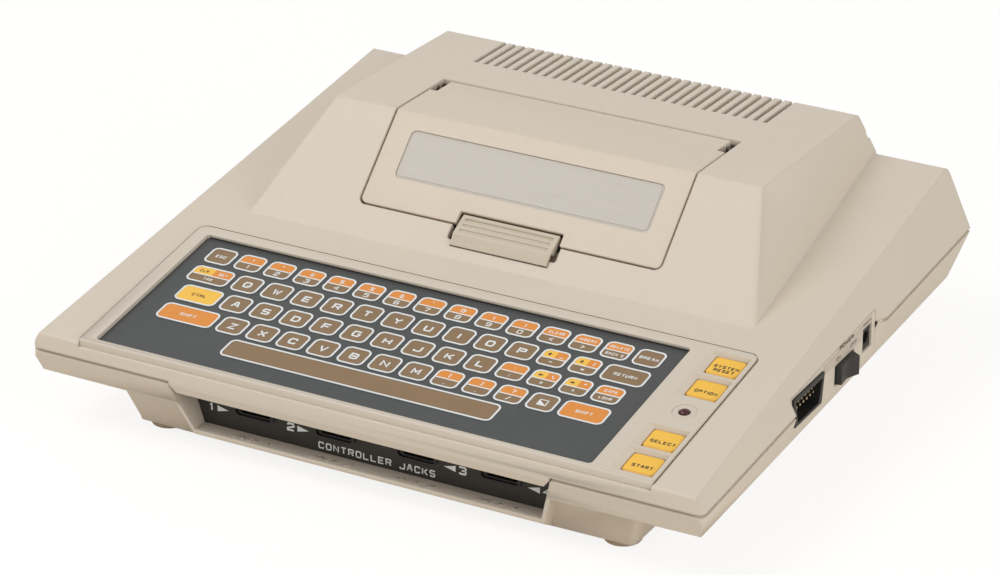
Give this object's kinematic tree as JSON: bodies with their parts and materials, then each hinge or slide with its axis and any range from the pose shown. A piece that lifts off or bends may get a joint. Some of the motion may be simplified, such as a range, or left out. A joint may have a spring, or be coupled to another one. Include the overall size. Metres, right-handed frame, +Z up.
{
  "type": "home computer",
  "caption": "Flat wedge-shaped home computer with a membrane keyboard, console keys, a hinged cartridge door on a raised hump and controller sockets in front.",
  "frame": {"origin": "on the table, under the middle of the case at its parting line", "axes": "+X to the right along the keyboard, +Y from the front edge to the rear wall, +Z up"},
  "size_m": [0.3445, 0.295, 0.1105],
  "materials": {
    "case_plastic": "warm beige, fine texture",
    "bezel_plastic": "beige, satin",
    "membrane": "dark grey printed foil",
    "circuit_film": "clear amber foil",
    "backing_steel": "zinc plated",
    "flat_cable": "foil",
    "key_amber": "amber, satin",
    "dome_rubber": "black",
    "board_green": "solder mask",
    "lamp_red": "unlit dark red",
    "door_plastic": "warm beige, fine texture",
    "badge_metal": "brushed and lacquered",
    "rod_steel": "drawn",
    "latch_plastic": "satin",
    "guide_plastic": "natural",
    "spring_steel": "drawn",
    "panel_black": "textured",
    "socket_black": "moulded",
    "pin_gold": "plated",
    "rocker_grey": "satin",
    "label_foil": "matt foil",
    "cast_shield": "sand cast",
    "chip_black": "moulded",
    "guide_black": "moulded",
    "can_steel": "tinned",
    "capacitor_blue": "sleeve",
    "heat_sink_metal": "bare",
    "speaker_black": "paper and steel",
    "foot_rubber": "brown grey",
    "screw_steel": "zinc plated"
  },
  "bodies": {
    "case": {"lower_case": "case_plastic", "upper_case": "case_plastic", "keyboard_bezel": "bezel_plastic", "membrane_overlay": "membrane", "membrane_circuit": "circuit_film", "keyboard_plate": "backing_steel", "keyboard_ribbon": "flat_cable", "system_reset_dome": "dome_rubber", "option_dome": "dome_rubber", "select_dome": "dome_rubber", "start_dome": "dome_rubber", "console_board": "board_green", "power_led": "lamp_red", "hinge_rod": "rod_steel", "latch_guide": "guide_plastic", "latch_spring": "spring_steel", "jack_panel": "panel_black", "controller_jack_1": "socket_black", "controller_jack_2": "socket_black", "controller_jack_3": "socket_black", "controller_jack_4": "socket_black", "jack_pins": "pin_gold", "jack_board": "board_green", "side_port": "socket_black", "side_port_pins": "pin_gold", "switch_body": "socket_black", "power_jack": "socket_black", "port_board": "board_green", "side_label": "label_foil", "lower_shield": "cast_shield", "main_board": "board_green", "board_chips": "chip_black", "upper_shield": "cast_shield", "cartridge_guide": "guide_black", "cartridge_connector": "guide_black", "cpu_card": "board_green", "ram_card": "board_green", "rf_modulator": "can_steel", "power_board": "board_green", "power_capacitors": "capacitor_blue", "heat_sink": "heat_sink_metal", "speaker": "speaker_black", "rubber_feet": "foot_rubber", "case_screws": "screw_steel"},
    "door": {"cartridge_door": "door_plastic", "badge_plate": "badge_metal"},
    "latch": {"door_latch": "latch_plastic"},
    "system_reset_button": {"system_reset_key": "key_amber"},
    "option_button": {"option_key": "key_amber"},
    "select_button": {"select_key": "key_amber"},
    "start_button": {"start_key": "key_amber"},
    "power_rocker": {"rocker": "rocker_grey"}
  },
  "joints": [
    {"name": "door_hinge", "type": "hinge", "parent": "case", "child": "door", "pos_m": [0, 0.07531, 0.10542], "axis": [-1, 0, 0], "range_deg": [0, 80]},
    {"name": "latch_slide", "type": "slide", "parent": "case", "child": "latch", "axis": [0, -0.7385, -0.6743], "range_m": [0, 0.003], "stiffness_N_per_m": 400, "springref_m": -0.0015, "deforming": ["latch_spring"]},
    {"name": "system_reset_button_press", "type": "slide", "parent": "case", "child": "system_reset_button", "axis": [0, 0.1297, -0.9916], "range_m": [0, 0.002], "stiffness_N_per_m": 600, "springref_m": -0.0008, "deforming": ["system_reset_dome"]},
    {"name": "option_button_press", "type": "slide", "parent": "case", "child": "option_button", "axis": [0, 0.1297, -0.9916], "range_m": [0, 0.002], "stiffness_N_per_m": 600, "springref_m": -0.0008, "deforming": ["option_dome"]},
    {"name": "select_button_press", "type": "slide", "parent": "case", "child": "select_button", "axis": [0, 0.1297, -0.9916], "range_m": [0, 0.002], "stiffness_N_per_m": 600, "springref_m": -0.0008, "deforming": ["select_dome"]},
    {"name": "start_button_press", "type": "slide", "parent": "case", "child": "start_button", "axis": [0, 0.1297, -0.9916], "range_m": [0, 0.002], "stiffness_N_per_m": 600, "springref_m": -0.0008, "deforming": ["start_dome"]},
    {"name": "rocker_turn", "type": "hinge", "parent": "case", "child": "power_rocker", "pos_m": [0.1635, 0.0082, 0.0428], "axis": [0, 0, 1], "range_deg": [0, 20]}
  ]
}
